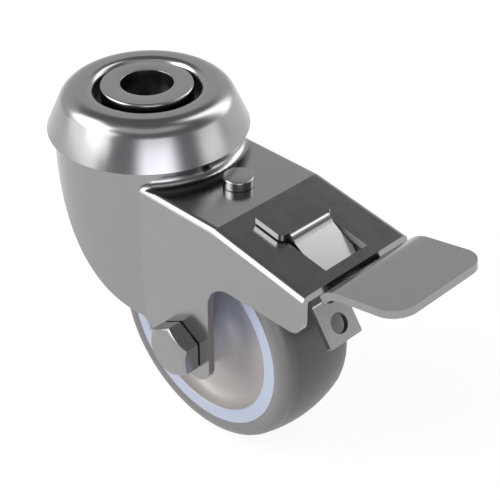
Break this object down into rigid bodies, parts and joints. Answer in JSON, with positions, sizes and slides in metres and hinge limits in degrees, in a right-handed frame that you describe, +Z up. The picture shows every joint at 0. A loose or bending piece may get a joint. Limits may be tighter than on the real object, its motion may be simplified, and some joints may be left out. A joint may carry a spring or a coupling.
{
  "type": "braked swivel caster",
  "caption": "Swivel castor with a bolt hole, covered double ball race, pressed steel fork, soft-tread wheel and a foot-operated wheel brake.",
  "frame": {"origin": "on the swivel axis, at the top face of the hub around the bolt hole", "axes": "+Z up along the swivel axis; the wheel trails towards +X at rest; the axle lies along Y with its bolt head on the -Y side"},
  "size_m": [0.0948, 0.0415, 0.069],
  "materials": {
    "bright_steel": "zinc-bright pressed steel",
    "ball_steel": "polished",
    "core_plastic": "smooth moulded",
    "grey_tread": "matte, non-marking",
    "insert_plastic": "plain"
  },
  "bodies": {
    "mount": {"swivel_hub": "bright_steel", "cover_cap": "bright_steel", "lower_race": "bright_steel", "upper_balls": "ball_steel", "lower_balls": "ball_steel"},
    "fork": {"fork": "bright_steel", "spring_rivet": "bright_steel", "leaf_foot": "bright_steel", "axle_bolt": "bright_steel", "axle_nut": "bright_steel", "nut_insert": "insert_plastic", "axle_sleeve": "bright_steel"},
    "lever": {"brake_lever": "bright_steel"},
    "leaf": {"leaf_arm": "bright_steel"},
    "wheel": {"wheel_core": "core_plastic", "tyre": "grey_tread"}
  },
  "joints": [
    {"name": "swivel", "type": "hinge", "parent": "mount", "child": "fork", "pos_m": [0, 0, 0], "axis": [0, 0, 1], "continuous": true},
    {"name": "wheel_spin", "type": "hinge", "parent": "fork", "child": "wheel", "pos_m": [0.0235, 0, -0.044], "axis": [0, 1, 0], "continuous": true},
    {"name": "brake_pedal", "type": "hinge", "parent": "fork", "child": "lever", "pos_m": [0.0433, 0, -0.0142], "axis": [0, 1, 0], "range_deg": [0, 24.5]},
    {"name": "leaf_flex", "type": "hinge", "parent": "fork", "child": "leaf", "pos_m": [0.0325, 0, -0.01425], "axis": [0, 1, 0], "range_deg": [0, 11.32]}
  ],
  "couplings": [
    {"joint": "leaf_flex", "follows": "brake_pedal", "ratio": 0.462}
  ]
}
